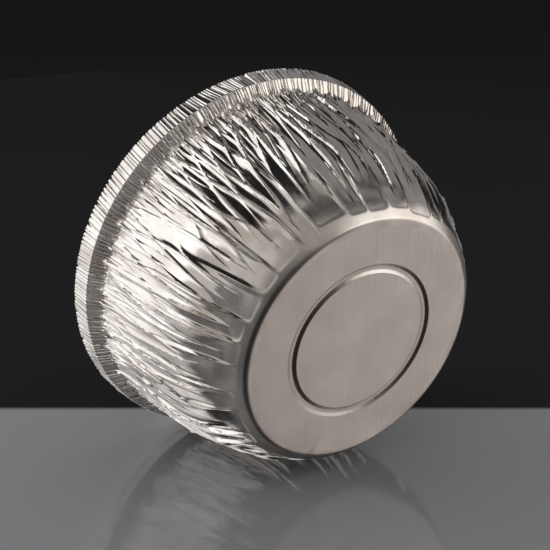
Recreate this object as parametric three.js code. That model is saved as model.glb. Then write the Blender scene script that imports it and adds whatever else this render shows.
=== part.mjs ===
// Foil pudding basin: one pressing of thin aluminium foil, standing on its base with its mouth up.
// The origin is the centre of the base's underside, +Z is the basin's axis, and lengths are millimetres.
// The zones of the pressing are separate meshes that meet edge to edge: base, wall, ledge and upstand.
import * as THREE from 'three';

const { degToRad, lerp, seededRandom, smoothstep } = THREE.MathUtils;

// Driving dimensions of the pressing
const foilGauge = 0.1;
const overallHeight = 63.5;
const rimRadius = 63;
const ledgeOuterRadius = 62;
const ledgeOuterLevel = 57.4;
const ledgeInnerRadius = 58.8;
const ledgeInnerLevel = 55.2;
const baseRadius = 39.2;
const heelRadius = 2.6;
const topFilletRadius = 3;

// Bulging wall: how far its outside has turned up from straight down where it leaves the heel and where
// it meets the fillet under the ledge, and how long it holds each of those directions
const wallFootTurn = degToRad(42);
const wallHeadTurn = degToRad(82);
const wallFootHold = 14;
const wallHeadHold = 30;

// Coined ring in the base, pressed in towards the food side
const ringOuterRadius = 26;
const ringInnerRadius = 22.9;
const ringDepth = 0.7;
const ringSlopeWidth = 0.9;
const baseSegments = 64;

// Pleats of the wall: broad panels at the heel that split into finer folds towards the rim
const panelCount = 30;
const columnsPerPanel = 6;
const pleatDepth = 1.1;
const panelProud = 0.35;
const foldGrowth = 0.3;
const earlyFoldStart = 0.12;
const lateFoldStart = 0.42;
const foldStartSpread = 0.16;
const foldLean = degToRad(1.2);
const wallRows = [0.06, 0.2, 0.42, 0.7, 1];

// Crimps of the ledge and the upstand, two columns of points to a crimp
const crimpCount = 200;
const crimpDepth = 0.6;
const columnsPerCrimp = 2;

// Hairline between neighbouring zones
const seamGap = 0.05;

const foilLook = { color: 0xb9b6b1, metalness: 1 };

function polar(radius, angle, level) {
  return [radius * Math.cos(angle), radius * Math.sin(angle), level];
}

// Direction that the outside skin faces, as radius and level: a turn of zero is straight down
function facingAt(turn) {
  return new THREE.Vector2(Math.sin(turn), -Math.cos(turn));
}

// Direction along the outside skin towards the rim, for the same turn
function climbAt(turn) {
  return new THREE.Vector2(Math.cos(turn), Math.sin(turn));
}

const ledgeTilt = Math.atan2(ledgeOuterLevel - ledgeInnerLevel, ledgeOuterRadius - ledgeInnerRadius);
const ledgeFacing = facingAt(ledgeTilt);

// A thin sheet that closes on itself round the axis. place(column, row, lift) gives the point that
// stands lift above the outside skin, towards the food side; rows run from the base to the rim.
function foilSheet(columns, rows, place) {
  const positions = [];
  const triangles = [];
  const corner = (column, row, skin) => ((column % columns) * rows + row) * 2 + skin;
  const addQuad = (a, b, c, d) => triangles.push(a, b, c, a, c, d);

  for (let column = 0; column < columns; column += 1) {
    for (let row = 0; row < rows; row += 1) {
      positions.push(...place(column, row, 0), ...place(column, row, foilGauge));
    }
  }

  const last = rows - 1;
  for (let column = 0; column < columns; column += 1) {
    const next = column + 1;
    for (let row = 0; row < last; row += 1) {
      const above = row + 1;
      addQuad(corner(column, row, 0), corner(next, row, 0), corner(next, above, 0), corner(column, above, 0));
      addQuad(corner(column, row, 1), corner(column, above, 1), corner(next, above, 1), corner(next, row, 1));
    }
    addQuad(corner(column, 0, 1), corner(next, 0, 1), corner(next, 0, 0), corner(column, 0, 0));
    addQuad(corner(column, last, 0), corner(next, last, 0), corner(next, last, 1), corner(column, last, 1));
  }

  const geometry = new THREE.BufferGeometry();
  geometry.setAttribute('position', new THREE.Float32BufferAttribute(positions, 3));
  geometry.setIndex(triangles);
  geometry.computeVertexNormals();
  return geometry;
}

// Flat disc with the coined ring, turned from a profile that runs out along the underside and back
function basePanel() {
  const underside = [
    [0, 0],
    [ringInnerRadius, 0],
    [ringInnerRadius + ringSlopeWidth, ringDepth],
    [ringOuterRadius - ringSlopeWidth, ringDepth],
    [ringOuterRadius, 0],
    [baseRadius - seamGap, 0],
  ];
  const foodSide = underside.map(([radius, level]) => [radius, level + foilGauge]).reverse();
  const profile = [...underside, ...foodSide].map(([radius, level]) => new THREE.Vector2(radius, level));
  const turned = new THREE.LatheGeometry(profile, baseSegments);
  return turned.rotateX(Math.PI / 2);
}

// Outline of the wall's outside skin, as rows of a point, the direction it faces and its place along
// the pleated part. The bulging part runs on from the heel's arc and into the fillet without a corner.
function wallOutline() {
  const heelCentre = new THREE.Vector2(baseRadius, heelRadius);
  const ledgeStart = new THREE.Vector2(ledgeInnerRadius, ledgeInnerLevel);
  const filletCentre = ledgeStart.clone().addScaledVector(ledgeFacing, topFilletRadius);

  const onHeel = (turn) => heelCentre.clone().addScaledVector(facingAt(turn), heelRadius);
  const onFillet = (turn) => filletCentre.clone().addScaledVector(facingAt(turn), -topFilletRadius);

  const foot = onHeel(wallFootTurn);
  const head = onFillet(wallHeadTurn);
  const bulge = new THREE.CubicBezierCurve(
    foot,
    foot.clone().addScaledVector(climbAt(wallFootTurn), wallFootHold),
    head.clone().addScaledVector(climbAt(wallHeadTurn), -wallHeadHold),
    head,
  );

  const heelRows = [0, wallFootTurn / 2, wallFootTurn].map((turn) => (
    { point: onHeel(turn), facing: facingAt(turn), along: 0, pleating: 1 }));
  const bulgeRows = wallRows.map((along) => {
    const climb = bulge.getTangentAt(along);
    const facing = new THREE.Vector2(climb.y, -climb.x);
    return { point: bulge.getPointAt(along), facing, along, pleating: 1 };
  });
  const filletMiddle = (wallHeadTurn + ledgeTilt) / 2;
  const filletRows = [
    { point: onFillet(filletMiddle), facing: facingAt(filletMiddle), along: 1, pleating: 0.5 },
    { point: ledgeStart, facing: ledgeFacing, along: 1, pleating: 0 },
  ];
  return [...heelRows, ...bulgeRows, ...filletRows];
}

// How far a column of the wall is pressed towards the food side. The first column of a panel is a
// fold from the heel up; its other folds start higher, one early and one late, a little unevenly.
function pleat(column, along) {
  const panel = Math.floor(column / columnsPerPanel);
  const place = column % columnsPerPanel;
  const isRidge = place % 2 === 1;
  const standProud = panelProud * smoothstep(along, 0, wallRows[0]);
  if (place === 0) {
    return lerp(-standProud, pleatDepth, smoothstep(along, 0, foldGrowth));
  }
  if (isRidge) {
    return -standProud;
  }
  const isEarly = (place === 2) === (panel % 2 === 0);
  const foldStart = (isEarly ? earlyFoldStart : lateFoldStart) + foldStartSpread * seededRandom(column);
  return lerp(-standProud, pleatDepth, smoothstep(along, foldStart, foldStart + foldGrowth));
}

function pleatedWall() {
  const outline = wallOutline();
  const columns = panelCount * columnsPerPanel;
  const place = (column, row, lift) => {
    const { point, facing, along, pleating } = outline[row];
    const depth = pleat(column, along) * pleating + lift;
    const sway = foldLean * along * pleating * Math.sin(column);
    const angle = (column / columns) * 2 * Math.PI + sway;
    return polar(point.x - facing.x * depth, angle, point.y - facing.y * depth);
  };
  return foilSheet(columns, outline.length, place);
}

// Crimps press the sheet in and out by turns. At the corner between the sloping ledge and the upstand
// both zones end on the same mitre, so a crimp runs on from one to the other.
const crimpColumns = crimpCount * columnsPerCrimp;
const upstandLean = Math.atan2(rimRadius - ledgeOuterRadius, overallHeight - ledgeOuterLevel);
const upstandFacing = facingAt(Math.PI / 2 - upstandLean);
const mitre = ledgeFacing.clone().add(upstandFacing).divideScalar(1 + ledgeFacing.dot(upstandFacing));
const ledgeSeam = new THREE.Vector2(Math.cos(ledgeTilt), Math.sin(ledgeTilt)).multiplyScalar(seamGap);

function crimp(column) {
  return column % columnsPerCrimp === 0 ? -crimpDepth / 2 : crimpDepth / 2;
}

function crimpAngle(column) {
  return (column / crimpColumns) * 2 * Math.PI;
}

function rimLedge() {
  const place = (column, row, lift) => {
    if (row === 0) {
      const radius = ledgeInnerRadius + ledgeSeam.x - ledgeFacing.x * lift;
      return polar(radius, crimpAngle(column), ledgeInnerLevel + ledgeSeam.y - ledgeFacing.y * lift);
    }
    const depth = crimp(column) + lift;
    const radius = ledgeOuterRadius - ledgeSeam.x - mitre.x * depth;
    return polar(radius, crimpAngle(column), ledgeOuterLevel - ledgeSeam.y - mitre.y * depth);
  };
  return foilSheet(crimpColumns, 2, place);
}

function rimUpstand() {
  const topRadius = rimRadius - crimpDepth / 2;
  const place = (column, row, lift) => {
    const depth = crimp(column) + lift;
    if (row === 0) {
      const radius = ledgeOuterRadius - mitre.x * depth;
      return polar(radius, crimpAngle(column), ledgeOuterLevel - mitre.y * depth);
    }
    return polar(topRadius - depth, crimpAngle(column), overallHeight);
  };
  return foilSheet(crimpColumns, 2, place);
}

function zone(name, geometry, roughness) {
  const mesh = new THREE.Mesh(geometry, new THREE.MeshStandardMaterial({ ...foilLook, roughness }));
  mesh.name = name;
  return mesh;
}

const basin = new THREE.Group();
basin.add(zone('base_panel', basePanel(), 0.45));
basin.add(zone('pleated_wall', pleatedWall(), 0.22));
basin.add(zone('rim_ledge', rimLedge(), 0.25));
basin.add(zone('rim_upstand', rimUpstand(), 0.25));

export default basin;
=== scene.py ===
"""Foil pudding basin: the visual model, its materials and the studio that it is shown in.

The basin is one pressing of thin aluminium foil. Its base, its pleated wall and its crimped rim are turned
as smooth sheets. One Geometry Nodes tree then presses the pleats, folds and crimps into the wall and rim.
"""
import math

import bmesh
import bpy
import numpy as np
from bpy.props import FloatProperty, FloatVectorProperty, IntProperty, PointerProperty
from mathutils import Matrix, Vector


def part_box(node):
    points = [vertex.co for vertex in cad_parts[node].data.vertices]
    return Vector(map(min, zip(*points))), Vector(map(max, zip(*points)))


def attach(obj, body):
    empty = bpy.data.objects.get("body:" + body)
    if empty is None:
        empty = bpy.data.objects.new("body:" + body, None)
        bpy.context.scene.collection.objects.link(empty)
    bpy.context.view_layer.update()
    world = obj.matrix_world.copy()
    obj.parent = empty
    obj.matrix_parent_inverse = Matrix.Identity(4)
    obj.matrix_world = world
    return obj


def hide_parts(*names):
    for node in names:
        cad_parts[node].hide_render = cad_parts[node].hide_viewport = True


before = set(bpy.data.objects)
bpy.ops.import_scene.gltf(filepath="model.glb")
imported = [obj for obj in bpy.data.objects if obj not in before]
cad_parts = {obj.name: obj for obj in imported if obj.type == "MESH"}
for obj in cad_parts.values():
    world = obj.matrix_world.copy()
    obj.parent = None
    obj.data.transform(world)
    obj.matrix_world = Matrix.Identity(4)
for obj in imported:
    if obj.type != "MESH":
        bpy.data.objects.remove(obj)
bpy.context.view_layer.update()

bl_info = {
    "name": "Foil pudding basin",
    "version": (1, 0, 0),
    "blender": (4, 5, 0),
    "location": "View3D > Sidebar > Basin",
    "description": "Builds a pressed foil pudding basin with pleated walls and a crimped rim",
    "category": "Add Mesh",
}

MM = 0.001

BASE_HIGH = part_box("base_panel")[1]
WALL_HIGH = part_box("pleated_wall")[1]
RIM_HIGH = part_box("rim_upstand")[1]


def linear(hex_colour):
    """Linear red, green and blue of an sRGB colour written as six hex digits."""
    channels = [int(hex_colour[place:place + 2], 16) / 255 for place in (0, 2, 4)]
    return tuple(c / 12.92 if c <= 0.04045 else ((c + 0.055) / 1.055) ** 2.4 for c in channels)


class BasinSizes(bpy.types.PropertyGroup):
    """Sizes of the pressing before its pleats and crimps"""

    foil_gauge: FloatProperty(
        name="Foil gauge", description="Thickness of the foil", default=0.1 * MM, unit="LENGTH")
    base_radius: FloatProperty(
        name="Base radius", description="Radius of the flat base", default=BASE_HIGH.x, unit="LENGTH")
    heel_radius: FloatProperty(
        name="Heel radius", description="Round between base and wall", default=2.6 * MM, unit="LENGTH")
    ring_outer: FloatProperty(
        name="Ring outside", description="Outer radius of the coined ring",
        default=26 * MM, unit="LENGTH")
    ring_inner: FloatProperty(
        name="Ring inside", description="Inner radius of the coined ring",
        default=22.9 * MM, unit="LENGTH")
    ring_depth: FloatProperty(
        name="Ring depth", description="How far the ring is pressed in", default=0.7 * MM, unit="LENGTH")
    ring_slope: FloatProperty(
        name="Ring slope", description="Width of each slope of the ring",
        default=1.05 * MM, unit="LENGTH")
    ledge_inner: FloatProperty(
        name="Ledge inside", description="Radius where the ledge starts",
        default=WALL_HIGH.x, unit="LENGTH")
    ledge_inner_level: FloatProperty(
        name="Ledge inside level", description="Height where the ledge starts",
        default=WALL_HIGH.z - 0.08 * MM, unit="LENGTH")
    ledge_outer: FloatProperty(
        name="Ledge outside", description="Radius of the ledge's corner", default=62 * MM, unit="LENGTH")
    ledge_outer_level: FloatProperty(
        name="Ledge outside level", description="Height of the ledge's corner",
        default=57.4 * MM, unit="LENGTH")
    foot_turn: FloatProperty(
        name="Foot turn", description="How far the wall's outside faces up from straight down at its foot",
        default=math.radians(42), subtype="ANGLE")
    head_turn: FloatProperty(
        name="Head turn", description="How far the wall's outside faces up from straight down at its head",
        default=math.radians(82), subtype="ANGLE")
    foot_hold: FloatProperty(
        name="Foot hold", description="How long the wall keeps its direction at the foot",
        default=14 * MM, unit="LENGTH")
    head_hold: FloatProperty(
        name="Head hold", description="How long the wall keeps its direction at the head",
        default=30 * MM, unit="LENGTH")
    fillet_radius: FloatProperty(
        name="Fillet radius", description="Round between wall and ledge", default=3 * MM, unit="LENGTH")
    rim_radius: FloatProperty(
        name="Rim radius", description="Radius of the rim's top, mid crimp",
        default=RIM_HIGH.x - 0.3 * MM, unit="LENGTH")
    corner_radius: FloatProperty(
        name="Corner radius", description="Round between ledge and upstand",
        default=0.4 * MM, unit="LENGTH")
    height: FloatProperty(
        name="Height", description="Overall height", default=RIM_HIGH.z, unit="LENGTH")


class FoldSettings(bpy.types.PropertyGroup):
    """Counts and depths of the pleats, folds, wrinkles and crimps"""

    panels: IntProperty(name="Panels", description="Broad panels round the heel", default=33)
    panel_depth: FloatProperty(
        name="Panel depth", description="How far panels are pressed into the wall",
        default=1.1 * MM, unit="LENGTH")
    panel_tilt: FloatProperty(
        name="Panel tilt", description="Most that a panel's sides differ",
        default=1.4 * MM, unit="LENGTH")
    folds: IntProperty(name="Folds", description="Folds round the middle of the wall", default=58)
    fold_depth: FloatProperty(
        name="Fold depth", description="Depth of the folds", default=1.3 * MM, unit="LENGTH")
    cross_folds: IntProperty(
        name="Cross folds", description="Folds that lean across the others", default=78)
    cross_depth: FloatProperty(
        name="Cross fold depth", description="Depth of the cross folds",
        default=0.95 * MM, unit="LENGTH")
    wrinkles: IntProperty(
        name="Wrinkles", description="Fine wrinkles round the top of the wall", default=145)
    wrinkle_depth: FloatProperty(
        name="Wrinkle depth", description="Depth of the wrinkles", default=0.55 * MM, unit="LENGTH")
    swell: FloatProperty(
        name="Swell", description="Unevenness of the wall between folds",
        default=0.7 * MM, unit="LENGTH")
    crimps: IntProperty(name="Crimps", description="Crimps round the rim", default=300)
    crimp_depth: FloatProperty(
        name="Crimp depth", description="Depth of the crimps", default=0.8 * MM, unit="LENGTH")
    lean: FloatProperty(
        name="Lean", description="Most that a fold leans to a side",
        default=math.radians(2.5), subtype="ANGLE")
    seed: FloatProperty(name="Seed", description="Chooses the pattern of the folds", default=3.0)


class FoilFinish(bpy.types.PropertyGroup):
    """Colours of the foil and of the floor"""

    foil_light: FloatVectorProperty(
        name="Foil light", description="Lighter tone of the foil",
        default=linear("e6e2dd"), subtype="COLOR")
    foil_dark: FloatVectorProperty(
        name="Foil dark", description="Darker, warmer tone of the foil",
        default=linear("d2cac4"), subtype="COLOR")
    floor_pale: FloatVectorProperty(
        name="Floor", description="Colour of the floor", default=linear("dcdddd"), subtype="COLOR")
    table_pale: FloatVectorProperty(
        name="Table", description="Colour of the table", default=linear("6c6d6f"), subtype="COLOR")
    room_dark: FloatVectorProperty(
        name="Room", description="Colour of the unlit room", default=linear("1e1e1f"), subtype="COLOR")
    room_light: FloatVectorProperty(
        name="Room light", description="Light from all round on the floors", default=linear("cccccc"),
        subtype="COLOR")


def add(tree, kind, inputs=None, **settings):
    """Adds a node with its settings, and sets or links its inputs.

    A node given as a value is its first output.
    """
    node = tree.nodes.new(kind)
    for name, value in settings.items():
        setattr(node, name, value)
    for key, value in (inputs or {}).items():
        if isinstance(value, bpy.types.Node):
            value = value.outputs[0]
        if isinstance(value, bpy.types.NodeSocket):
            tree.links.new(value, node.inputs[key])
        else:
            node.inputs[key].default_value = value
    return node


MATH = "ShaderNodeMath"
VECTOR = "ShaderNodeVectorMath"
RANGE = "ShaderNodeMapRange"
NOISE = "ShaderNodeTexNoise"
JOIN = "ShaderNodeCombineXYZ"

# Most of a noise's values lie between these
NOISE_LOW = 0.3
NOISE_HIGH = 0.7


# Sheets turned from an outline

def facing_at(turn):
    """Direction that an outside faces, as radius and level: 0 is down and a quarter turn is outwards."""
    return np.array((math.sin(turn), -math.cos(turn)))


def climb_at(turn):
    """Direction up along an outside that faces as facing_at gives."""
    return np.array((math.cos(turn), math.sin(turn)))


def arc(centre, radius, start, end, count):
    """Points of an arc, from one direction that its outside faces to another."""
    return np.array([centre + radius * facing_at(turn) for turn in np.linspace(start, end, count)])


def straight(start, end, count):
    """Evenly spaced points after start, up to end."""
    steps = np.linspace(0, 1, count + 1)[1:, None]
    return start + (end - start) * steps


def lengths_along(points):
    """Length of a line of points up to each of them."""
    return np.concatenate(((0,), np.cumsum(np.linalg.norm(np.diff(points, axis=0), axis=1))))


CURVE_STEPS = 1000


def bulging(foot, foot_way, head, head_way, shares):
    """Points at shares of the length of a curve that leaves foot and enters head along the given ways."""
    step = np.linspace(0, 1, CURVE_STEPS)[:, None]
    rest = 1 - step
    curve = (rest ** 3 * foot + 3 * rest ** 2 * step * (foot + foot_way)
             + 3 * rest * step ** 2 * (head - head_way) + step ** 3 * head)
    lengths = lengths_along(curve)
    return np.column_stack([np.interp(shares * lengths[-1], lengths, curve[:, axis]) for axis in (0, 1)])


def smooth_step(value, low, high):
    """0 up to low, 1 from high on, and a smooth rise between them."""
    share = np.clip((value - low) / (high - low), 0, 1)
    return share * share * (3 - 2 * share)


EDGE_LAP = 1 * MM
RING_MARGIN = 0.6 * MM
BASE_ROWS = 20
RING_ROWS = 36
BORDER_ROWS = 24


def base_outline(sizes):
    """Base from its centre to just short of its edge, with the coined ring."""
    ring_start = sizes.ring_inner - RING_MARGIN
    ring_end = sizes.ring_outer + RING_MARGIN
    radii = np.concatenate((
        np.linspace(0, ring_start, BASE_ROWS, endpoint=False),
        np.linspace(ring_start, ring_end, RING_ROWS, endpoint=False),
        np.linspace(ring_end, sizes.base_radius - EDGE_LAP, BORDER_ROWS)))
    rise = np.clip((radii - sizes.ring_inner) / sizes.ring_slope, 0, 1)
    fall = np.clip((radii - sizes.ring_outer) / sizes.ring_slope + 1, 0, 1)
    return np.column_stack((radii, sizes.ring_depth * (rise - fall)))


HEEL_ROWS = 7
FILLET_ROWS = 7
LEDGE_ROWS = 4
CORNER_ROWS = 4
UPSTAND_ROWS = 5
WALL_CUTS = (0, 0.02, 0.12, 0.4, 0.7, 1.0)
WALL_STEPS = (5, 19, 19, 19, 19)
FOLDED_PIECES = ("foil_heel", "foil_panel_feet", "foil_panels", "foil_folds", "foil_wrinkles", "foil_rim")


def folded_outline(sizes):
    """Outline of the folded foil, from the flat edge of the base up the wall to the top of the rim.

    Gives its points, the climb of each up the wall, and the rows at which it is cut into pieces. The climb
    is 0 at the wall's foot and 1 at its head.
    """
    ledge_start = np.array((sizes.ledge_inner, sizes.ledge_inner_level))
    ledge_end = np.array((sizes.ledge_outer, sizes.ledge_outer_level))
    rim_top = np.array((sizes.rim_radius, sizes.height))
    ledge_way = ledge_end - ledge_start
    ledge_turn = math.atan2(ledge_way[1], ledge_way[0])
    upstand_way = rim_top - ledge_end
    upstand_turn = math.atan2(upstand_way[1], upstand_way[0])

    edge = np.array(((sizes.base_radius - EDGE_LAP, 0),))
    heel_centre = np.array((sizes.base_radius, sizes.heel_radius))
    heel = arc(heel_centre, sizes.heel_radius, 0, sizes.foot_turn, HEEL_ROWS)
    fillet_centre = ledge_start + sizes.fillet_radius * facing_at(ledge_turn)
    fillet = arc(fillet_centre, -sizes.fillet_radius, sizes.head_turn, ledge_turn, FILLET_ROWS)
    foot_way = sizes.foot_hold * climb_at(sizes.foot_turn)
    head_way = sizes.head_hold * climb_at(sizes.head_turn)
    shares = np.concatenate([
        np.linspace(low, high, steps + 1)[1:]
        for low, high, steps in zip(WALL_CUTS, WALL_CUTS[1:], WALL_STEPS)])
    wall = bulging(heel[-1], foot_way, fillet[0], head_way, shares)

    ledge_side = facing_at(ledge_turn)
    upstand_side = facing_at(upstand_turn)
    mitre = (ledge_side + upstand_side) / (1 + ledge_side @ upstand_side)
    corner_centre = ledge_end - sizes.corner_radius * mitre
    corner = arc(corner_centre, sizes.corner_radius, ledge_turn, upstand_turn, CORNER_ROWS)
    ledge = straight(fillet[-1], corner[0], LEDGE_ROWS)[:-1]
    upstand = straight(corner[-1], rim_top, UPSTAND_ROWS)

    points = np.concatenate((edge, heel, wall, fillet[1:], ledge, corner, upstand))
    lengths = lengths_along(points)
    foot_row = HEEL_ROWS
    head_row = foot_row + len(wall)
    climb = (lengths - lengths[foot_row]) / (lengths[head_row] - lengths[foot_row])
    cuts = [0, *(foot_row + np.cumsum(WALL_STEPS)), len(points) - 1]
    return points, climb, cuts


DENT_HEADING = math.radians(150)
DENT_START = 28 * MM
DENT_DEPTH = 0.2 * MM
DENT_SPREAD = 14 * MM
DENT_CREASE = 3.0 * MM
DENT_FADE = 12 * MM
DENT_LEVELS = (0.6 * MM, 4 * MM)


def dent(points):
    """How far the base's edge is knocked in: a slope that ends in a short crease, fading up the heel."""
    radius = np.hypot(points[..., 0], points[..., 1])
    turn = np.arctan2(points[..., 1], points[..., 0]) - DENT_HEADING
    side = np.arctan2(np.sin(turn), np.cos(turn)) * radius
    gentle = smooth_step(side, DENT_SPREAD, 0) * (side >= 0)
    sharp = smooth_step(side, -DENT_CREASE, 0) * (side < 0)
    slope = gentle + sharp
    reach = smooth_step(radius, DENT_START, DENT_START + DENT_FADE)
    return DENT_DEPTH * slope * reach * (1 - smooth_step(points[..., 2], *DENT_LEVELS))


HEADING = "fold_heading"
CLIMB = "fold_climb"
# Waves round the wall: how many, how strong and where each starts
LEAN_WAVES = ((3, 1.0, 0.4), (5, 0.8, 2.1), (8, 0.5, 4.4), (13, 0.3, 1.3))
SWING_WAVES = ((4, 1.0, 3.3), (7, 0.8, 0.9), (11, 0.6, 5.2))
WALL_LEAN = 0.5
WALL_SWING = 0.25
RIM_LEAN = 2.5
RIM_FOOT = 1.1


def wander(turns, climb, lean):
    """How far round the wall a fold has strayed from its foot: a steady lean and a swing to and fro.

    Above the wall the crimps of the rim lean by themselves.
    """
    share = np.clip(climb, 0, 1)
    above = np.clip(climb - RIM_FOOT, 0, 1)
    steady = sum(weight * np.sin(count * turns + phase) for count, weight, phase in LEAN_WAVES)
    swing = sum(weight * np.sin(count * turns + phase) for count, weight, phase in SWING_WAVES)
    swaying = np.sin(1.5 * math.pi * share)
    strayed = WALL_LEAN * steady * share + WALL_SWING * swing * swaying + RIM_LEAN * swing * above
    return lean * strayed


def turned_sheet(name, outline, columns, climb=None, lean=0.0):
    """Object whose mesh is the outline turned round the axis, with its faces outwards and its pole closed.

    A sheet that is to be folded has its columns lean as the folds do, and keeps each point's first heading
    and its climb up the wall as attributes, so that the folds run along the columns.
    """
    turns = np.arange(columns) * (2 * math.pi / columns)
    rows = len(outline)
    headings = np.repeat(turns[:, None], rows, axis=1)
    if climb is not None:
        headings = headings + wander(headings, climb[None, :], lean)
    points = np.empty((columns, rows, 3))
    points[..., 0] = outline[None, :, 0] * np.cos(headings)
    points[..., 1] = outline[None, :, 0] * np.sin(headings)
    points[..., 2] = outline[None, :, 1]
    points[..., 2] += dent(points)
    here = np.arange(columns)[:, None] * rows + np.arange(rows - 1)[None, :]
    beside = (np.arange(columns)[:, None] + 1) % columns * rows + np.arange(rows - 1)[None, :]
    faces = np.stack((here, beside, beside + 1, here + 1), axis=-1).reshape(-1, 4)
    mesh = bpy.data.meshes.new(name)
    mesh.from_pydata(points.reshape(-1, 3), [], faces.tolist())
    if climb is None:
        shape = bmesh.new()
        shape.from_mesh(mesh)
        bmesh.ops.remove_doubles(shape, verts=shape.verts, dist=0.001 * MM)
        shape.to_mesh(mesh)
        shape.free()
    else:
        first = np.zeros((columns, rows, 3))
        first[..., 0] = np.cos(turns)[:, None]
        first[..., 1] = np.sin(turns)[:, None]
        mesh.attributes.new(HEADING, "FLOAT_VECTOR", "POINT").data.foreach_set("vector", first.ravel())
        climbs = np.repeat(climb[None, :], columns, axis=0)
        mesh.attributes.new(CLIMB, "FLOAT", "POINT").data.foreach_set("value", climbs.ravel())
    mesh.shade_smooth()
    sheet = bpy.data.objects.new(name, mesh)
    bpy.context.scene.collection.objects.link(sheet)
    return sheet


SHARP_FROM = math.radians(70)


def finish_sheet(sheet, nodes, gauge, material):
    """Gives a sheet the foil's thickness, makes its modifiers plain mesh and ties it to the frame."""
    thickness = sheet.modifiers.new("gauge", "SOLIDIFY")
    thickness.thickness = gauge
    thickness.offset = -1
    evaluated = sheet.evaluated_get(bpy.context.evaluated_depsgraph_get())
    mesh = bpy.data.meshes.new_from_object(evaluated)
    sheet.modifiers.clear()
    sheet.data = mesh
    mesh.name = sheet.name
    for name in (HEADING, CLIMB):
        if name in mesh.attributes:
            mesh.attributes.remove(mesh.attributes[name])
    mesh.set_sharp_from_angle(angle=SHARP_FROM)
    mesh.materials.clear()
    mesh.materials.append(material)
    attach(sheet, "root")
    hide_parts(*nodes)


# Pleats, folds and crimps

FOLD_INPUTS = (
    ("Ledge radius", "NodeSocketFloat"), ("Upstand radius", "NodeSocketFloat"),
    ("Wall length", "NodeSocketFloat"),
    ("Panels", "NodeSocketFloat"), ("Panel depth", "NodeSocketFloat"), ("Panel tilt", "NodeSocketFloat"),
    ("Folds", "NodeSocketFloat"), ("Fold depth", "NodeSocketFloat"),
    ("Cross folds", "NodeSocketFloat"), ("Cross fold depth", "NodeSocketFloat"),
    ("Wrinkles", "NodeSocketFloat"), ("Wrinkle depth", "NodeSocketFloat"), ("Swell", "NodeSocketFloat"),
    ("Crimps", "NodeSocketFloat"), ("Crimp depth", "NodeSocketFloat"),
    ("Seed", "NodeSocketFloat"), ("Finish", "NodeSocketMaterial"),
)

# Layers of strips that the wall's foil gathers into. A strip slants by that many strips on its way up,
# starts between the climbs first and last, and is fluted by that share of its depth.
STRIP_LAYERS = {
    "Panels": {"slant": 0.2, "first": -0.5, "last": -0.4, "flute": 0.0, "seed": 10},
    "Folds": {"slant": 0.8, "first": 0.03, "last": 0.24, "flute": 0.5, "seed": 20},
    "Cross folds": {"slant": -1.8, "first": 0.1, "last": 0.42, "flute": 0.5, "seed": 30},
    "Wrinkles": {"slant": 2.0, "first": 0.35, "last": 0.7, "flute": 0.5, "seed": 40},
}
STRIP_GROWTH = 0.2
RIDGE_POWER = 4.0

# Noise that a strip's tilt is read from: how far apart neighbours are, and how fast it changes up the wall
TILT_APART = 5.37
TILT_CHANGE = 2.2

# Most strips that a strip strays to a side by
PANEL_STRAY = 0.5
FOLD_STRAY = 0.8
CRIMP_STRAY = 1.2

# Panels: their feet, the rounding of those feet, and the climbs over which they deepen and end
PANEL_FOOT = 0.015
PANEL_FOOT_SPREAD = 0.06
PANEL_FOOT_ROUND = 3.0 * MM
PANEL_SIDE_START = -0.3 * MM
PANEL_SIDE_END = 0.8 * MM
PANEL_DEEPENING = (-0.05, 0.16)
PANEL_ENDING = (0.15, 0.5)
PANEL_LEFT_ABOVE = 0.15

LEAST_BUSY = 0.65
SWELL_CLIMBS = (0.15, 0.5)

# Crimps: their valley and crest, how much they vary and tilt, and their share on each part of the rim
CRIMP_VALLEY = -0.7
CRIMP_CREST = 0.3
CRIMP_LEAST = 0.3
CRIMP_MOST = 1.5
CRIMP_TILT = 0.3
CRIMP_SEED = 9
LEDGE_RUN_IN = 1.0 * MM
LEDGE_RUN_OUT = 0.5 * MM
WALL_CRIMP = 0.6
WALL_CRIMP_CLIMBS = (0.86, 1.0)
UPSTAND_CRIMP = 0.36
EDGE_CRIMP = 0.45
EDGE_CRIMP_CLIMBS = (1.16, 1.225)


def uneven_round(tree, heading, scatter, count, stretch, detail=0.0):
    """Noise round the wall, about as many swells as count, each drawn out up the wall."""
    around = add(tree, MATH, {0: count, 1: 2 * math.pi}, operation="DIVIDE")
    spread = add(tree, VECTOR, {0: heading, "Scale": around.outputs[0]}, operation="SCALE")
    raised = add(tree, VECTOR, {0: scatter, 1: (1, 1, stretch)}, operation="MULTIPLY")
    place = add(tree, VECTOR, {0: spread, 1: raised}, operation="ADD")
    return add(tree, NOISE, {"Vector": place, "Scale": 1.0, "Detail": detail, "Roughness": 0.4}).outputs[0]


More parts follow.
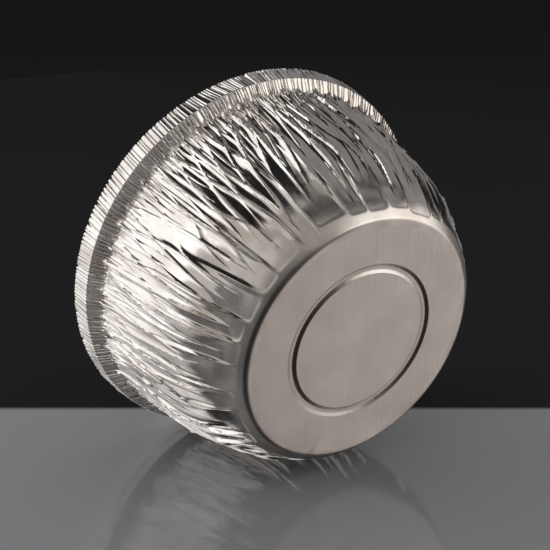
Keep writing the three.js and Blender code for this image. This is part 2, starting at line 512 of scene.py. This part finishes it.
def strips(tree, turns, climb, radius, count, shift, slant, first, last, flute, seed):
    """Strips side by side up the wall, each tilted its own way: its height, its number and its edge.

    A fluted strip has a sharp ridge on each side. Its edge is how far a point is from the nearer side.
    """
    slanted = add(tree, MATH, {0: climb, 1: slant, 2: shift}, operation="MULTIPLY_ADD")
    place = add(tree, MATH, {0: turns, 1: count, 2: slanted}, operation="MULTIPLY_ADD")
    share = add(tree, MATH, {0: place}, operation="FRACT")
    side = add(tree, MATH, {0: share, 1: 0.5}, operation="SUBTRACT")
    off = add(tree, MATH, {0: side}, operation="ABSOLUTE")
    edge = add(tree, MATH, {0: 0.5, 1: off}, operation="SUBTRACT")

    floor = add(tree, MATH, {0: place}, operation="FLOOR")
    number = add(tree, MATH, {0: floor, 1: count}, operation="FLOORED_MODULO")
    start = add(tree, "FunctionNodeRandomValue", {
        2: first, 3: last, "ID": number, "Seed": seed}, data_type="FLOAT").outputs[1]
    grown = add(tree, MATH, {0: start, 1: STRIP_GROWTH}, operation="ADD")
    tilting = add(tree, RANGE, {
        "Value": climb, "From Min": start, "From Max": grown}, interpolation_type="SMOOTHSTEP")
    apart = add(tree, MATH, {0: number, 1: TILT_APART}, operation="MULTIPLY")
    twist = add(tree, MATH, {0: climb, 1: TILT_CHANGE}, operation="MULTIPLY")
    # Noise is even at whole numbers, so it is read halfway between them
    chance_place = add(tree, JOIN, {"X": apart, "Y": twist, "Z": seed + 0.5})
    chance = add(tree, NOISE, {"Vector": chance_place, "Scale": 1.0, "Detail": 0.0}).outputs[0]
    tilt = add(tree, RANGE, {
        "Value": chance, "From Min": NOISE_LOW, "From Max": NOISE_HIGH, "To Min": -1.0, "To Max": 1.0})
    tilted = add(tree, MATH, {0: tilt, 1: tilting}, operation="MULTIPLY")
    slope = add(tree, MATH, {0: tilted, 1: side}, operation="MULTIPLY")
    aside = add(tree, MATH, {0: off, 1: 2.0}, operation="MULTIPLY")
    ridge = add(tree, MATH, {0: aside, 1: RIDGE_POWER}, operation="POWER")
    ridge_grown = add(tree, MATH, {0: ridge, 1: tilting}, operation="MULTIPLY")
    height = add(tree, MATH, {0: ridge_grown, 1: flute, 2: slope}, operation="MULTIPLY_ADD")

    around = add(tree, MATH, {0: radius, 1: 2 * math.pi}, operation="MULTIPLY")
    width = add(tree, MATH, {0: around, 1: count}, operation="DIVIDE")
    edge_off = add(tree, MATH, {0: edge, 1: width}, operation="MULTIPLY")
    return height, number, edge_off


def fold_tree():
    """Tree that presses panels, folds and wrinkles into the wall, and crimps into the rim."""
    tree = bpy.data.node_groups.new("pleats_and_crimps", "GeometryNodeTree")
    tree.interface.new_socket("Sheet", in_out="INPUT", socket_type="NodeSocketGeometry")
    for name, kind in FOLD_INPUTS:
        tree.interface.new_socket(name, in_out="INPUT", socket_type=kind)
    tree.interface.new_socket("Foil", in_out="OUTPUT", socket_type="NodeSocketGeometry")
    given = add(tree, "NodeGroupInput").outputs

    # Where a point is: its heading from the axis, its radius, and its climb up the wall
    kept = "GeometryNodeInputNamedAttribute"
    heading = add(tree, kept, {"Name": HEADING}, data_type="FLOAT_VECTOR").outputs[0]
    climb = add(tree, kept, {"Name": CLIMB}, data_type="FLOAT").outputs[0]
    place = add(tree, "GeometryNodeInputPosition")
    flat = add(tree, VECTOR, {0: place, 1: (1, 1, 0)}, operation="MULTIPLY")
    radius = add(tree, VECTOR, {0: flat}, operation="LENGTH").outputs["Value"]
    parts = add(tree, "ShaderNodeSeparateXYZ", {0: heading})
    turn = add(tree, MATH, {0: parts.outputs["Y"], 1: parts.outputs["X"]}, operation="ARCTAN2")
    turns = add(tree, MATH, {0: turn, 1: 2 * math.pi}, operation="DIVIDE")
    scatter = add(tree, JOIN, {"X": given["Seed"], "Y": given["Seed"], "Z": climb})
    seeded = add(tree, JOIN, {"X": given["Seed"], "Y": given["Seed"]})
    elsewhere = add(tree, VECTOR, {0: scatter, 1: (11.0, 5.0, 0.0)}, operation="ADD")

    # Flat panels of uneven width and tilt, pressed in from rounded feet, with ridges left between them
    width_noise = uneven_round(tree, heading, scatter, count=25.0, stretch=0.6)
    width_shift = add(tree, RANGE, {"Value": width_noise, "To Min": -PANEL_STRAY, "To Max": PANEL_STRAY})
    panel_slope, panel_number, side_off = strips(
        tree, turns, climb, radius, given["Panels"], width_shift, **STRIP_LAYERS["Panels"])
    panel_chance = add(tree, "FunctionNodeRandomValue", {"ID": panel_number}, data_type="FLOAT").outputs[1]
    start = add(tree, MATH, {
        0: panel_chance, 1: PANEL_FOOT_SPREAD, 2: PANEL_FOOT}, operation="MULTIPLY_ADD")
    above = add(tree, MATH, {0: climb, 1: start}, operation="SUBTRACT")
    foot_off = add(tree, MATH, {0: above, 1: given["Wall length"]}, operation="MULTIPLY")
    outline_off = add(tree, MATH, {0: side_off, 1: foot_off, 2: PANEL_FOOT_ROUND}, operation="SMOOTH_MIN")
    pressing = add(tree, RANGE, {
        "Value": outline_off, "From Min": PANEL_SIDE_START, "From Max": PANEL_SIDE_END},
        interpolation_type="SMOOTHSTEP")
    deepening = add(tree, RANGE, {
        "Value": above, "From Min": PANEL_DEEPENING[0], "From Max": PANEL_DEEPENING[1]},
        interpolation_type="SMOOTHSTEP")
    ending = add(tree, RANGE, {
        "Value": climb, "From Min": PANEL_ENDING[0], "From Max": PANEL_ENDING[1],
        "To Min": 1.0, "To Max": PANEL_LEFT_ABOVE}, interpolation_type="SMOOTHSTEP")
    recess_share = add(tree, MATH, {0: deepening, 1: ending}, operation="MULTIPLY")
    recess = add(tree, MATH, {0: recess_share, 1: given["Panel depth"]}, operation="MULTIPLY")
    tilt_share = add(tree, MATH, {0: panel_slope, 1: recess_share}, operation="MULTIPLY")
    face = add(tree, MATH, {0: tilt_share, 1: given["Panel tilt"]}, operation="MULTIPLY")
    panel = add(tree, MATH, {0: face, 1: recess}, operation="SUBTRACT")
    panels = add(tree, MATH, {0: panel, 1: pressing}, operation="MULTIPLY")

    # Folds that start above the heel, and finer wrinkles towards the rim, busier in some places
    busy_noise = uneven_round(tree, heading, elsewhere, count=12.0, stretch=1.4)
    busy = add(tree, RANGE, {"Value": busy_noise, "From Min": 0.38, "From Max": 0.62, "To Min": LEAST_BUSY})
    fold_noise = uneven_round(tree, heading, elsewhere, count=30.0, stretch=1.2)
    fold_shift = add(tree, RANGE, {"Value": fold_noise, "To Min": -FOLD_STRAY, "To Max": FOLD_STRAY})
    folds = strips(tree, turns, climb, radius, given["Folds"], fold_shift, **STRIP_LAYERS["Folds"])[0]
    fold_depth = add(tree, MATH, {0: busy, 1: given["Fold depth"]}, operation="MULTIPLY")
    folded = add(tree, MATH, {0: folds, 1: fold_depth, 2: panels}, operation="MULTIPLY_ADD")
    cross_noise = uneven_round(tree, heading, scatter, count=40.0, stretch=1.6)
    cross_shift = add(tree, RANGE, {"Value": cross_noise, "To Min": -FOLD_STRAY, "To Max": FOLD_STRAY})
    cross_folds = strips(
        tree, turns, climb, radius, given["Cross folds"], cross_shift, **STRIP_LAYERS["Cross folds"])[0]
    cross_depth = add(tree, MATH, {0: busy, 1: given["Cross fold depth"]}, operation="MULTIPLY")
    crossed = add(tree, MATH, {0: cross_folds, 1: cross_depth, 2: folded}, operation="MULTIPLY_ADD")
    swell_noise = uneven_round(tree, heading, elsewhere, count=40.0, stretch=1.6)
    swell = add(tree, MATH, {0: swell_noise, 1: 0.5}, operation="SUBTRACT")
    swell_fade = add(tree, RANGE, {
        "Value": climb, "From Min": SWELL_CLIMBS[0], "From Max": SWELL_CLIMBS[1]},
        interpolation_type="SMOOTHSTEP")
    swell_depth = add(tree, MATH, {0: swell_fade, 1: given["Swell"]}, operation="MULTIPLY")
    swelled = add(tree, MATH, {0: swell, 1: swell_depth, 2: crossed}, operation="MULTIPLY_ADD")
    wrinkle_noise = uneven_round(tree, heading, elsewhere, count=70.0, stretch=2.2)
    wrinkle_shift = add(tree, RANGE, {"Value": wrinkle_noise, "To Min": -FOLD_STRAY, "To Max": FOLD_STRAY})
    wrinkles = strips(
        tree, turns, climb, radius, given["Wrinkles"], wrinkle_shift, **STRIP_LAYERS["Wrinkles"])[0]
    wrinkled = add(tree, MATH, {
        0: wrinkles, 1: given["Wrinkle depth"], 2: swelled}, operation="MULTIPLY_ADD")

    # Crimps of uneven width and depth
    crimp_noise = uneven_round(tree, heading, seeded, count=190.0, stretch=0.0, detail=1.0)
    crimp_shift = add(tree, RANGE, {"Value": crimp_noise, "To Min": -CRIMP_STRAY, "To Max": CRIMP_STRAY})
    crimp_turn = add(tree, MATH, {0: turns, 1: given["Crimps"], 2: crimp_shift}, operation="MULTIPLY_ADD")
    crimp_wave = add(tree, MATH, {0: crimp_turn, 1: 0.5}, operation="PINGPONG")
    crimp_face = add(tree, RANGE, {
        "Value": crimp_wave, "From Max": 0.2, "To Min": CRIMP_VALLEY, "To Max": CRIMP_CREST},
        interpolation_type="SMOOTHSTEP")
    crimp_vary = uneven_round(tree, heading, seeded, count=110.0, stretch=0.0, detail=1.0)
    crimp_share = add(tree, RANGE, {
        "Value": crimp_vary, "From Min": NOISE_LOW, "From Max": NOISE_HIGH,
        "To Min": CRIMP_LEAST, "To Max": CRIMP_MOST})
    crimp_fraction = add(tree, MATH, {0: crimp_turn}, operation="FRACT")
    crimp_side = add(tree, MATH, {0: crimp_fraction, 1: 0.5}, operation="SUBTRACT")
    crimp_floor = add(tree, MATH, {0: crimp_turn}, operation="FLOOR")
    crimp_number = add(tree, MATH, {0: crimp_floor, 1: given["Crimps"]}, operation="FLOORED_MODULO")
    crimp_chance = add(tree, "FunctionNodeRandomValue", {
        "ID": crimp_number, "Seed": CRIMP_SEED}, data_type="FLOAT").outputs[1]
    crimp_tilt = add(tree, RANGE, {"Value": crimp_chance, "To Min": -CRIMP_TILT, "To Max": CRIMP_TILT})
    crimp_rise = add(tree, MATH, {0: crimp_side, 1: crimp_tilt, 2: crimp_face}, operation="MULTIPLY_ADD")
    crimp_deep = add(tree, MATH, {0: crimp_share, 1: given["Crimp depth"]}, operation="MULTIPLY")
    crimp = add(tree, MATH, {0: crimp_rise, 1: crimp_deep}, operation="MULTIPLY")

    # The wall's folds give way to the rim's crimps in the fillet
    ledge_start = add(tree, MATH, {0: given["Ledge radius"], 1: LEDGE_RUN_IN}, operation="SUBTRACT")
    ledge_end = add(tree, MATH, {0: given["Ledge radius"], 1: LEDGE_RUN_OUT}, operation="ADD")
    crimping = add(tree, RANGE, {
        "Value": radius, "From Min": ledge_start, "From Max": ledge_end}, interpolation_type="SMOOTHSTEP")
    run_down = add(tree, RANGE, {
        "Value": climb, "From Min": WALL_CRIMP_CLIMBS[0], "From Max": WALL_CRIMP_CLIMBS[1],
        "To Max": WALL_CRIMP}, interpolation_type="SMOOTHSTEP")
    run_into = add(tree, MATH, {0: crimp, 1: run_down, 2: wrinkled}, operation="MULTIPLY_ADD")
    upstand = add(tree, RANGE, {
        "Value": radius, "From Min": ledge_end, "From Max": given["Upstand radius"],
        "To Min": 1.0, "To Max": UPSTAND_CRIMP}, interpolation_type="SMOOTHSTEP")
    rim_edge = add(tree, RANGE, {
        "Value": climb, "From Min": EDGE_CRIMP_CLIMBS[0], "From Max": EDGE_CRIMP_CLIMBS[1],
        "To Max": EDGE_CRIMP}, interpolation_type="SMOOTHSTEP")
    upstand_share = add(tree, MATH, {0: upstand, 1: rim_edge}, operation="ADD")
    crimp_height = add(tree, MATH, {0: crimp, 1: upstand_share}, operation="MULTIPLY")
    depth = add(tree, "ShaderNodeMix", {0: crimping, 2: run_into, 3: crimp_height})

    normal = add(tree, "GeometryNodeInputNormal")
    shift = add(tree, VECTOR, {0: normal, "Scale": depth.outputs[0]}, operation="SCALE")
    pressed = add(tree, "GeometryNodeSetPosition", {"Geometry": given["Sheet"], "Offset": shift})
    realised = add(tree, "GeometryNodeRealizeInstances", {"Geometry": pressed})
    finished = add(tree, "GeometryNodeSetMaterial", {"Geometry": realised, "Material": given["Finish"]})
    add(tree, "NodeGroupOutput", {"Foil": finished})
    return tree


def press_folds(sheet, sizes, folds, wall_length, material):
    """Adds the fold tree to a sheet and sets its inputs by their identifiers."""
    tree = bpy.data.node_groups.get("pleats_and_crimps") or fold_tree()
    values = {
        "Ledge radius": sizes.ledge_inner, "Upstand radius": sizes.ledge_outer, "Wall length": wall_length,
        "Panels": folds.panels, "Panel depth": folds.panel_depth, "Panel tilt": folds.panel_tilt,
        "Folds": folds.folds, "Fold depth": folds.fold_depth,
        "Cross folds": folds.cross_folds, "Cross fold depth": folds.cross_depth,
        "Wrinkles": folds.wrinkles, "Wrinkle depth": folds.wrinkle_depth, "Swell": folds.swell,
        "Crimps": folds.crimps, "Crimp depth": folds.crimp_depth,
        "Seed": folds.seed, "Finish": material,
    }
    modifier = sheet.modifiers.new("folds", "NODES")
    modifier.node_group = tree
    for item in tree.interface.items_tree:
        if item.in_out == "INPUT" and item.name in values:
            value = values[item.name]
            modifier[item.identifier] = float(value) if item.socket_type == "NodeSocketFloat" else value


# Materials

def satin_rolled_foil(finish):
    """Aluminium foil as it leaves the rolls: a satin metal with fine straight streaks along the rolling."""
    material = bpy.data.materials.get("satin_rolled_foil")
    if material:
        return material
    material = bpy.data.materials.new("satin_rolled_foil")
    material.use_nodes = True
    tree = material.node_tree
    tree.nodes.clear()
    coordinates = add(tree, "ShaderNodeTexCoord").outputs["Object"]
    # Real rolling lines are finer. They are drawn as coarse as they need to be to show.
    streak_width = 0.4 * MM
    streak_length = 60 * MM
    blotch_size = 14 * MM
    rolling = math.radians(-58.3)
    turned = add(tree, "ShaderNodeMapping", {"Vector": coordinates, "Rotation": (0, 0, -rolling)})
    streak_place = add(tree, VECTOR, {
        0: turned, 1: (1 / streak_length, 1 / streak_width, 1 / streak_length)}, operation="MULTIPLY")
    streaks = add(tree, NOISE, {"Vector": streak_place, "Scale": 1.0, "Detail": 3.0}).outputs[0]
    blotch = add(tree, NOISE, {"Vector": coordinates, "Scale": 1 / blotch_size, "Detail": 2.0}).outputs[0]
    tone = add(tree, MATH, {0: streaks, 1: blotch}, operation="ADD")
    share = add(tree, RANGE, {"Value": tone, "From Min": 0.7, "From Max": 1.3})
    colour = add(tree, "ShaderNodeMix", {
        0: share, 6: (*finish.foil_dark, 1), 7: (*finish.foil_light, 1)}, data_type="RGBA").outputs[2]
    roughness = add(tree, RANGE, {
        "Value": streaks, "From Min": NOISE_LOW, "From Max": NOISE_HIGH, "To Min": 0.3, "To Max": 0.4})
    bump = add(tree, "ShaderNodeBump", {"Height": streaks, "Strength": 0.25, "Distance": 0.03 * MM})
    foil = add(tree, "ShaderNodeBsdfPrincipled", {
        "Base Color": colour, "Roughness": roughness, "Normal": bump, "Metallic": 1.0})
    add(tree, "ShaderNodeOutputMaterial", {"Surface": foil})
    return material


def bright_rolled_foil(finish):
    """The same foil drawn and folded: brighter, with creases too fine for the mesh drawn as bump."""
    material = bpy.data.materials.get("bright_rolled_foil")
    if material:
        return material
    material = bpy.data.materials.new("bright_rolled_foil")
    material.use_nodes = True
    tree = material.node_tree
    tree.nodes.clear()
    coordinates = add(tree, "ShaderNodeTexCoord").outputs["Object"]
    crinkle_size = 2.5 * MM
    blotch_size = 9 * MM
    heel_top = 2 * MM
    folds_foot = 7 * MM
    satin = 0.35
    crinkles = add(tree, NOISE, {
        "Vector": coordinates, "Scale": 1 / crinkle_size, "Detail": 2.0}).outputs[0]
    blotch = add(tree, NOISE, {"Vector": coordinates, "Scale": 1 / blotch_size, "Detail": 2.0}).outputs[0]
    share = add(tree, RANGE, {"Value": blotch, "From Min": 0.35, "From Max": 0.65})
    colour = add(tree, "ShaderNodeMix", {
        0: share, 6: (*finish.foil_dark, 1), 7: (*finish.foil_light, 1)}, data_type="RGBA").outputs[2]
    level = add(tree, "ShaderNodeSeparateXYZ", {0: coordinates}).outputs["Z"]
    folded = add(tree, RANGE, {
        "Value": level, "From Min": heel_top, "From Max": folds_foot}, interpolation_type="SMOOTHSTEP")
    bright = add(tree, RANGE, {
        "Value": crinkles, "From Min": NOISE_LOW, "From Max": NOISE_HIGH, "To Min": 0.14, "To Max": 0.22})
    roughness = add(tree, "ShaderNodeMix", {0: folded, 2: satin, 3: bright})
    height = add(tree, MATH, {0: crinkles, 1: folded}, operation="MULTIPLY")
    bump = add(tree, "ShaderNodeBump", {"Height": height, "Strength": 0.15, "Distance": 0.05 * MM})
    foil = add(tree, "ShaderNodeBsdfPrincipled", {
        "Base Color": colour, "Roughness": roughness, "Normal": bump, "Metallic": 1.0})
    add(tree, "ShaderNodeOutputMaterial", {"Surface": foil})
    return material


BASE_COLUMNS = 480
FOLDED_COLUMNS = 2400


class BASIN_OT_base(bpy.types.Operator):
    """Make the flat base with its coined ring"""

    bl_idname = "basin.base"
    bl_label = "Base"

    def execute(self, context):
        sizes = context.scene.basin_sizes
        material = satin_rolled_foil(context.scene.basin_finish)
        sheet = turned_sheet("foil_base", base_outline(sizes), BASE_COLUMNS)
        finish_sheet(sheet, ["base_panel"], sizes.foil_gauge, material)
        return {"FINISHED"}


class BASIN_OT_folded(bpy.types.Operator):
    """Make the folded foil: the heel with the foot of its panels, the pleated wall and the crimped rim"""

    bl_idname = "basin.folded"
    bl_label = "Pleated wall and rim"

    def execute(self, context):
        sizes = context.scene.basin_sizes
        folds = context.scene.basin_folds
        material = bright_rolled_foil(context.scene.basin_finish)
        points, climb, cuts = folded_outline(sizes)
        wall_length = lengths_along(points)[-1] / (climb[-1] - climb[0])
        for name, low, high in zip(FOLDED_PIECES, cuts, cuts[1:]):
            rows = slice(low, high + 1)
            nodes = ["rim_ledge", "rim_upstand"] if name == "foil_rim" else ["pleated_wall"]
            sheet = turned_sheet(name, points[rows], FOLDED_COLUMNS, climb[rows], folds.lean)
            press_folds(sheet, sizes, folds, wall_length, material)
            finish_sheet(sheet, nodes, sizes.foil_gauge, material)
        return {"FINISHED"}


# Stage

# Camera fitted to the photograph, in the part's own frame
IMAGE_SIDE = 550
FOCAL_PIXELS = 1413.7
SENSOR = 36.0
CAMERA_PLACE = Vector((-51.53, -316.84, -276.34)) * MM
CAMERA_LOOK = Vector((0.11166, 0.69708, 0.70825))
CAMERA_UP = Vector((0.69147, -0.56637, 0.44843))

# Table: the side that the basin lies on, how far folds and rim stand proud of the turned sheet, and the row
# of the picture where the table ends and its painted shade of the unlit room begins
REST_HEADING = math.radians(130.6)
FOLDS_PROUD = 0.8 * MM
RIM_PROUD = 0.4 * MM
TABLE_END_ROW = 411
TABLE_END_FADE = 4 * MM
TABLE_GLOSS = 0.5
TABLE_HALF = 2.0
WALL_MIDDLE = 30 * MM
WALL_ON_TABLE = (55 * MM, 63 * MM)
BASE_FRONT_LEVELS = (-25 * MM, -10 * MM)

# Floor under the standing basin
FLOOR_HALF = 6.0
FLOOR_DROP = 0.2 * MM
FLOOR_NEAR = 1.5 * MM

# Softboxes: name, direction to the camera's right, up and back towards it, then distance, width, height,
# brightness and colour
LAMPS = (
    ("left", (-0.9, 0.28, 0.05), 0.55, 0.55, 0.85, 1.3, "ffffff"),
    ("left_front", (-0.65, 0.33, 0.7), 0.7, 0.5, 0.7, 0.56, "fffaf4"),
    ("front", (0.1, 0.5, 0.85), 0.7, 0.7, 0.5, 0.31, "fff5ea"),
    ("right", (0.86, 0.36, 0.18), 0.55, 0.75, 0.32, 1.7, "fffaf4"),
    ("above", (0.25, 0.85, -0.45), 0.7, 0.9, 0.8, 0.24, "ffffff"),
    ("top", (-0.545, 0.448, -0.708), 0.8, 0.8, 0.8, 0.4, "ffffff"),
    ("low_left", (-0.6, -0.45, -0.65), 0.8, 0.9, 0.6, 0.85, "ffffff"),
    ("low_right", (0.92, -0.38, -0.05), 0.5, 0.6, 0.6, 0.49, "fff6f2"),
)


def resting_plane(sizes):
    """Where the rim meets the table that the basin lies on, the table's normal and its way up the wall.

    The rim and the fullest part of the wall touch the table.
    """
    rim = Vector((sizes.rim_radius + RIM_PROUD, sizes.height))
    points, climb = folded_outline(sizes)[:2]
    wall = points[(climb > 0) & (climb < 1)]
    slope = max(math.atan2(rim.y - level, rim.x - radius - FOLDS_PROUD) for radius, level in wall)
    outward = Vector((math.cos(REST_HEADING), math.sin(REST_HEADING), 0))
    along = outward * math.cos(slope) + Vector((0, 0, math.sin(slope)))
    normal = Vector((0, 0, math.cos(slope))) - outward * math.sin(slope)
    contact = outward * rim.x + Vector((0, 0, rim.y))
    return contact, normal, along


def plane(name, centre, first, second, half, material):
    """Flat square floor round a point, spanned by two directions."""
    signs = ((-1, -1), (1, -1), (1, 1), (-1, 1))
    corners = [centre + first * (half * a) + second * (half * b) for a, b in signs]
    mesh = bpy.data.meshes.new(name)
    mesh.from_pydata(corners, [], [(0, 1, 2, 3)])
    mesh.materials.append(material)
    floor = bpy.data.objects.new(name, mesh)
    bpy.context.scene.collection.objects.link(floor)


def floor_material(name, painted, roughness, mirrored_share, shown_to_foil):
    """Floor that is painted above and clear from below, and shows to foil by the share of shown_to_foil."""
    material = bpy.data.materials.new(name)
    material.use_nodes = True
    tree = material.node_tree
    tree.nodes.clear()
    paint = add(tree, "ShaderNodeBsdfPrincipled", {**painted(tree), "Roughness": roughness})
    clear = add(tree, "ShaderNodeBsdfTransparent")
    backfacing = add(tree, "ShaderNodeNewGeometry").outputs["Backfacing"]
    path = add(tree, "ShaderNodeLightPath").outputs
    share = add(tree, MATH, {0: shown_to_foil(tree, path), 1: mirrored_share}, operation="MULTIPLY")
    mirrored = add(tree, MATH, {0: path["Is Glossy Ray"], 1: share}, operation="MULTIPLY")
    seen = add(tree, MATH, {0: path["Is Camera Ray"], 1: mirrored}, operation="ADD", use_clamp=True)
    through = path["Is Transmission Ray"]
    seen_through = add(tree, MATH, {0: seen, 1: through}, operation="ADD", use_clamp=True)
    front = add(tree, MATH, {0: 1.0, 1: backfacing}, operation="SUBTRACT")
    shown = add(tree, MATH, {0: seen_through, 1: front}, operation="MULTIPLY")
    mixed = add(tree, "ShaderNodeMixShader", {0: shown, 1: clear, 2: paint})
    add(tree, "ShaderNodeOutputMaterial", {"Surface": mixed})
    return material


def clear_of_wall(middle):
    """Foil mirrors the table away from where the wall lies on it, and not in front of the base."""
    def shown(tree, path):
        place = add(tree, "ShaderNodeNewGeometry").outputs["Position"]
        away = add(tree, VECTOR, {0: place, 1: tuple(middle)}, operation="DISTANCE").outputs["Value"]
        far = add(tree, RANGE, {
            "Value": away, "From Min": WALL_ON_TABLE[0], "From Max": WALL_ON_TABLE[1]},
            interpolation_type="SMOOTHSTEP")
        level = add(tree, "ShaderNodeSeparateXYZ", {0: place}).outputs["Z"]
        behind = add(tree, RANGE, {
            "Value": level, "From Min": BASE_FRONT_LEVELS[0], "From Max": BASE_FRONT_LEVELS[1]},
            interpolation_type="SMOOTHSTEP")
        return add(tree, MATH, {0: far, 1: behind}, operation="MULTIPLY")
    return shown


def table_end(contact, normal, forward, right, up):
    """A point on the table's far end and the way beyond it. The end lies level across the picture."""
    sight = forward + up * ((IMAGE_SIDE / 2 - TABLE_END_ROW) / FOCAL_PIXELS)
    reach = (contact - CAMERA_PLACE).dot(normal) / sight.dot(normal)
    level = normal.cross(right.cross(sight)).normalized()
    beyond = level.cross(normal)
    return CAMERA_PLACE + sight * reach, beyond * math.copysign(1, beyond.dot(forward))


def painted_shade_beyond(end, beyond, near_colour, shade_colour):
    """Paint of a table that is grey up to its far end, and past it painted shade: the dark, glossless unlit
    room.
    """
    def painted(tree):
        place = add(tree, "ShaderNodeNewGeometry").outputs["Position"]
        from_end = add(tree, VECTOR, {0: place, 1: tuple(end)}, operation="SUBTRACT")
        past = add(tree, VECTOR, {0: from_end, 1: tuple(beyond)}, operation="DOT_PRODUCT").outputs["Value"]
        share = add(tree, RANGE, {
            "Value": past, "From Max": TABLE_END_FADE}, interpolation_type="SMOOTHSTEP")
        gloss = add(tree, RANGE, {"Value": share, "To Min": TABLE_GLOSS, "To Max": 0.0})
        colour = add(tree, "ShaderNodeMix", {
            0: share, 6: (*near_colour, 1), 7: (*shade_colour, 1)}, data_type="RGBA").outputs[2]
        return {"Base Color": colour, "Specular IOR Level": gloss}
    return painted


def plain(colour):
    """Paint of one colour."""
    return lambda tree: {"Base Color": (*colour, 1)}


def clear_of_base(tree, path):
    """Foil doesn't mirror the floor that it all but touches."""
    return add(tree, MATH, {0: path["Ray Length"], 1: FLOOR_NEAR}, operation="GREATER_THAN")


def softbox(name, target, direction, up, distance, width, height, brightness, colour):
    """Lamp that faces the target from a direction. Foil that mirrors it shows its brightness."""
    lamp = bpy.data.lights.new(name, "AREA")
    lamp.shape = "RECTANGLE"
    lamp.size = width
    lamp.size_y = height
    lamp.color = linear(colour)
    lamp.energy = brightness * math.pi * width * height
    holder = bpy.data.objects.new(name, lamp)
    away = direction.normalized()
    side = up.cross(away).normalized()
    turned = Matrix((side, away.cross(side), away)).transposed()
    holder.matrix_world = Matrix.Translation(target + away * distance) @ turned.to_4x4()
    holder.visible_camera = False
    bpy.context.scene.collection.objects.link(holder)


class BASIN_OT_stage(bpy.types.Operator):
    """Make the floors, the lamps, the room and the camera"""

    bl_idname = "basin.stage"
    bl_label = "Stage"

    def execute(self, context):
        scene = context.scene
        sizes = scene.basin_sizes
        finish = scene.basin_finish
        contact, normal, along = resting_plane(sizes)
        side = normal.cross(along)
        middle = contact - along * WALL_MIDDLE
        forward = CAMERA_LOOK.normalized()
        right = forward.cross(CAMERA_UP).normalized()
        up = right.cross(forward)
        end, beyond = table_end(contact, normal, forward, right, up)
        # Past its far end the table's sheet is painted shade, in the unlit room's colour and without gloss
        tabletop = painted_shade_beyond(end, beyond, finish.table_pale, finish.room_dark)
        table = floor_material(
            "grey_table", tabletop, roughness=0.1, mirrored_share=0.5, shown_to_foil=clear_of_wall(middle))
        plane("table", middle, along, side, TABLE_HALF, table)
        stand = floor_material(
            "pale_floor", plain(finish.floor_pale), roughness=0.6, mirrored_share=0.22,
            shown_to_foil=clear_of_base)
        plane("floor", Vector((0, 0, -FLOOR_DROP)), Vector((1, 0, 0)), Vector((0, 1, 0)), FLOOR_HALF, stand)

        centre = Vector((0, 0, sizes.height / 2))
        for name, (x, y, z), distance, width, height, brightness, colour in LAMPS:
            direction = right * x + up * y - forward * z
            softbox(name, centre, direction, up, distance, width, height, brightness, colour)

        world = bpy.data.worlds.new("dim_room")
        scene.world = world
        world.use_nodes = True
        tree = world.node_tree
        path = add(tree, "ShaderNodeLightPath").outputs
        seen = add(tree, MATH, {
            0: path["Is Camera Ray"], 1: path["Is Glossy Ray"]}, operation="ADD", use_clamp=True)
        shown = add(tree, MATH, {0: seen, 1: path["Is Transmission Ray"]}, operation="ADD", use_clamp=True)
        room = add(tree, "ShaderNodeMix", {
            0: shown, 6: (*finish.room_light, 1), 7: (*finish.room_dark, 1)}, data_type="RGBA").outputs[2]
        tree.links.new(room, tree.nodes["Background"].inputs["Color"])

        camera = bpy.data.cameras.new("camera")
        camera.sensor_width = SENSOR
        camera.lens = FOCAL_PIXELS / IMAGE_SIDE * SENSOR
        camera.clip_start = 0.01
        holder = bpy.data.objects.new("camera", camera)
        turned = Matrix((right, up, -forward)).transposed()
        holder.matrix_world = Matrix.Translation(CAMERA_PLACE) @ turned.to_4x4()
        scene.collection.objects.link(holder)
        scene.camera = holder
        scene.view_settings.view_transform = "Standard"
        return {"FINISHED"}


STEPS = (BASIN_OT_base, BASIN_OT_folded, BASIN_OT_stage)


class BASIN_PT_build(bpy.types.Panel):
    """Steps that build the basin and its stage"""

    bl_idname = "BASIN_PT_build"
    bl_label = "Foil pudding basin"
    bl_space_type = "VIEW_3D"
    bl_region_type = "UI"
    bl_category = "Basin"

    def draw(self, context):
        for step in STEPS:
            self.layout.operator(step.bl_idname)


GROUPS = {"basin_sizes": BasinSizes, "basin_folds": FoldSettings, "basin_finish": FoilFinish}


def register():
    for group in GROUPS.values():
        bpy.utils.register_class(group)
    for name, group in GROUPS.items():
        setattr(bpy.types.Scene, name, PointerProperty(type=group))
    for step in STEPS:
        bpy.utils.register_class(step)
    bpy.utils.register_class(BASIN_PT_build)


def unregister():
    bpy.utils.unregister_class(BASIN_PT_build)
    for step in reversed(STEPS):
        bpy.utils.unregister_class(step)
    for name in GROUPS:
        delattr(bpy.types.Scene, name)
    for group in GROUPS.values():
        bpy.utils.unregister_class(group)


def main():
    register()
    bpy.ops.basin.base()
    bpy.ops.basin.folded()
    bpy.ops.basin.stage()


if __name__ == "__main__":
    main()
